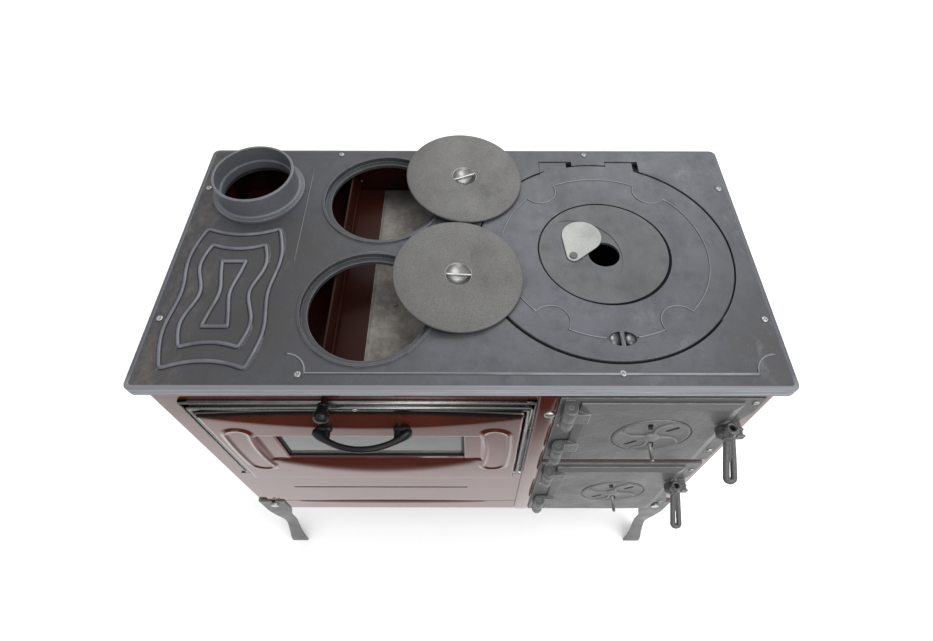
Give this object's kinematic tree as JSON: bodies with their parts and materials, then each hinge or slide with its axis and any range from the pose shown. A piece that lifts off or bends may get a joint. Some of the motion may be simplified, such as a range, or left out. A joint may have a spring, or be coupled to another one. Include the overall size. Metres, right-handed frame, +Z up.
{
  "type": "wood cookstove",
  "caption": "Cast-top wood cookstove with flue collar, hinged cooking cover, loose cook lids, drop-down glass oven door, latched fire and ash doors and curved legs.",
  "frame": {"origin": "on the floor, under the middle of the outline of the whole stove", "axes": "+X to the right seen from the front, +Y to the back, +Z up"},
  "size_m": [0.88, 0.5551, 0.89],
  "materials": {
    "plate_iron": "ground cast iron, satin",
    "lid_iron": "ground cast iron, dusty satin",
    "pale_iron": "ground cast iron, pale satin",
    "door_iron": "silver-grey heat paint on rough casting",
    "enamel": "glossy chestnut brown enamel",
    "inner_enamel": "brown enamel",
    "chrome": "polished",
    "zinc": "bright zinc plate",
    "bare_sheet": "dusty aluminised sheet",
    "dark_steel": "dark oxidised steel",
    "black_knob": "black phenolic",
    "oven_glass": "clear, grey-green",
    "stone_liner": "rough heat-stained cast iron"
  },
  "bodies": {
    "stove": {"top_plate": "plate_iron", "plate_screws": "zinc", "flue_collar": "plate_iron", "cover_hinge_pins": "zinc", "left_side_panel": "enamel", "right_side_panel": "enamel", "back_panel": "inner_enamel", "floor_panel": "bare_sheet", "front_top_rail": "enamel", "left_front_stile": "enamel", "centre_post": "enamel", "fire_side_front": "enamel", "lower_front_panel": "enamel", "plinth_rail": "enamel", "oven_trim": "chrome", "front_screws": "zinc", "oven_box": "inner_enamel", "oven_runners": "zinc", "oven_heat_shield": "bare_sheet", "oven_hinge_pins": "zinc", "firebox_partition": "bare_sheet", "left_liner": "stone_liner", "right_liner": "stone_liner", "back_liner": "stone_liner", "grate_frame": "stone_liner", "fire_grate": "stone_liner", "frame_screws": "zinc", "fire_frame": "door_iron", "ash_frame": "door_iron", "door_hinge_pins": "dark_steel", "front_left_leg": "door_iron", "front_right_leg": "door_iron", "rear_left_leg": "door_iron", "rear_right_leg": "door_iron", "leg_bolts": "zinc"},
    "cooking_cover": {"cooking_cover": "plate_iron"},
    "inner_lid": {"inner_lid": "lid_iron"},
    "swivel_cover": {"swivel_cover": "pale_iron"},
    "front_lid": {"front_lid": "lid_iron"},
    "rear_lid": {"rear_lid": "lid_iron"},
    "oven_door": {"oven_door_skin": "enamel", "oven_door_liner": "inner_enamel", "oven_door_glass": "oven_glass", "glass_clips": "enamel", "oven_handle": "black_knob", "handle_studs": "dark_steel"},
    "baking_tray": {"baking_tray": "dark_steel"},
    "draft": {"draft_flap": "inner_enamel", "draft_knob": "black_knob"},
    "fire_door": {"fire_door": "door_iron", "fire_door_baffle": "dark_steel"},
    "fire_vent_disc": {"fire_vent_disc": "door_iron"},
    "fire_latch": {"fire_latch": "door_iron"},
    "ash_door": {"ash_door": "door_iron"},
    "ash_vent_disc": {"ash_vent_disc": "door_iron"},
    "ash_latch": {"ash_latch": "door_iron"},
    "ash_pan": {"ash_pan": "bare_sheet"}
  },
  "joints": [
    {"name": "cover_hinge", "type": "hinge", "parent": "stove", "child": "cooking_cover", "pos_m": [0.2155, 0.2346, 0.846], "axis": [-1, 0, 0], "range_deg": [0, 85]},
    {"name": "inner_lid_lift", "type": "slide", "parent": "cooking_cover", "child": "inner_lid", "axis": [0, 0, 1], "range_m": [0, 0.15]},
    {"name": "swivel_turn", "type": "hinge", "parent": "inner_lid", "child": "swivel_cover", "pos_m": [0.1676, 0.0249, 0.85], "axis": [0, 0, 1], "range_deg": [-62, 0]},
    {"name": "front_lid_lift", "type": "slide", "parent": "stove", "child": "front_lid", "axis": [0, 0, 1], "range_m": [0, 0.506]},
    {"name": "rear_lid_lift", "type": "slide", "parent": "stove", "child": "rear_lid", "axis": [0, 0, 1], "range_m": [0, 0.506]},
    {"name": "oven_door_hinge", "type": "hinge", "parent": "stove", "child": "oven_door", "pos_m": [-0.1465, -0.1904, 0.502], "axis": [1, 0, 0], "range_deg": [0, 90]},
    {"name": "tray_slide", "type": "slide", "parent": "stove", "child": "baking_tray", "axis": [0, -1, 0], "range_m": [0, 0.221]},
    {"name": "draft_flap_turn", "type": "hinge", "parent": "stove", "child": "draft", "pos_m": [-0.192, 0.0296, 0.794], "axis": [0, 1, 0], "range_deg": [0, 90]},
    {"name": "fire_door_hinge", "type": "hinge", "parent": "stove", "child": "fire_door", "pos_m": [0.15, -0.2034, 0.69], "axis": [0, 0, -1], "range_deg": [0, 90]},
    {"name": "fire_vent_turn", "type": "hinge", "parent": "fire_door", "child": "fire_vent_disc", "pos_m": [0.287, -0.2004, 0.693], "axis": [0, 1, 0], "range_deg": [-30, 30]},
    {"name": "fire_latch_turn", "type": "hinge", "parent": "fire_door", "child": "fire_latch", "pos_m": [0.383, -0.2104, 0.734], "axis": [0, 1, 0], "range_deg": [-40, 13]},
    {"name": "ash_door_hinge", "type": "hinge", "parent": "stove", "child": "ash_door", "pos_m": [0.15, -0.2034, 0.42], "axis": [0, 0, -1], "range_deg": [0, 90]},
    {"name": "ash_vent_turn", "type": "hinge", "parent": "ash_door", "child": "ash_vent_disc", "pos_m": [0.287, -0.2004, 0.413], "axis": [0, 1, 0], "range_deg": [-30, 30]},
    {"name": "ash_latch_turn", "type": "hinge", "parent": "ash_door", "child": "ash_latch", "pos_m": [0.383, -0.2104, 0.473], "axis": [0, 1, 0], "range_deg": [-40, 13]},
    {"name": "ash_pan_slide", "type": "slide", "parent": "stove", "child": "ash_pan", "axis": [0, -1, 0], "range_m": [0, 0.111]}
  ],
  "couplings": [
    {"joint": "front_lid_lift", "follows": "cover_hinge", "m_per_rad": 0.34},
    {"joint": "rear_lid_lift", "follows": "cover_hinge", "m_per_rad": 0.34},
    {"joint": "tray_slide", "follows": "oven_door_hinge", "m_per_rad": 0.14},
    {"joint": "ash_pan_slide", "follows": "ash_door_hinge", "m_per_rad": 0.07}
  ]
}
